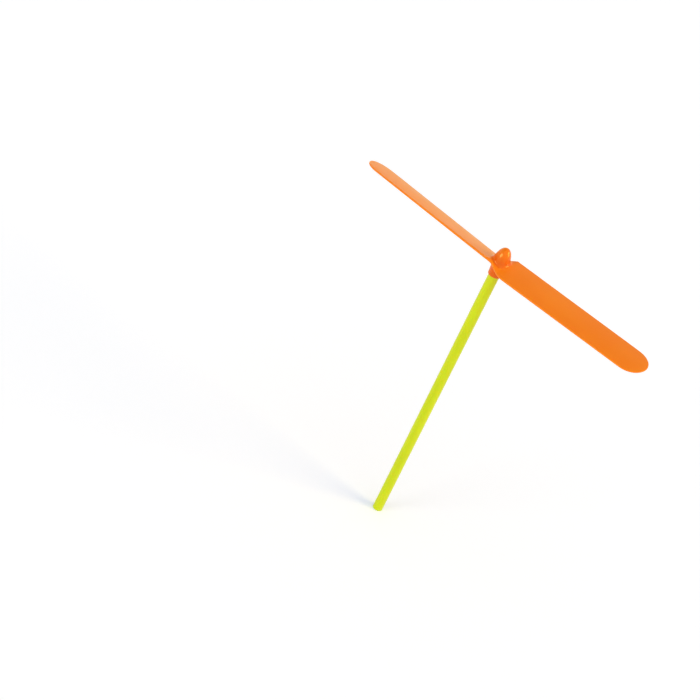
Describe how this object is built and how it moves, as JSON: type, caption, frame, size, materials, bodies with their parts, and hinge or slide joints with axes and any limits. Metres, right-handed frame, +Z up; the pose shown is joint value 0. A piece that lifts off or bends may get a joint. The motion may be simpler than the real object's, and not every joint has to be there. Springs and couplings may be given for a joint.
{
  "type": "hand-spun propeller toy",
  "caption": "Flying toy spun between the palms: a strip of pitched, round-tipped blades with a domed knob, pushed onto the thinner top end of a plain round stick.",
  "frame": {"origin": "centre of the flat foot of the stick", "axes": "+Z up the stick along the spin axis, +X along the blade that is on the right in the picture, +Y across the blades"},
  "size_m": [0.19, 0.0178, 0.1874],
  "materials": {
    "stick_plastic": "glossy fluorescent lime plastic",
    "propeller_plastic": "glossy fluorescent orange plastic"
  },
  "bodies": {
    "stick": {"stick": "stick_plastic"},
    "propeller": {"propeller": "propeller_plastic"}
  },
  "joints": [
    {"name": "propeller_pull_off", "type": "slide", "parent": "stick", "child": "propeller", "axis": [0, 0, 1], "range_m": [0, 0.015]}
  ]
}
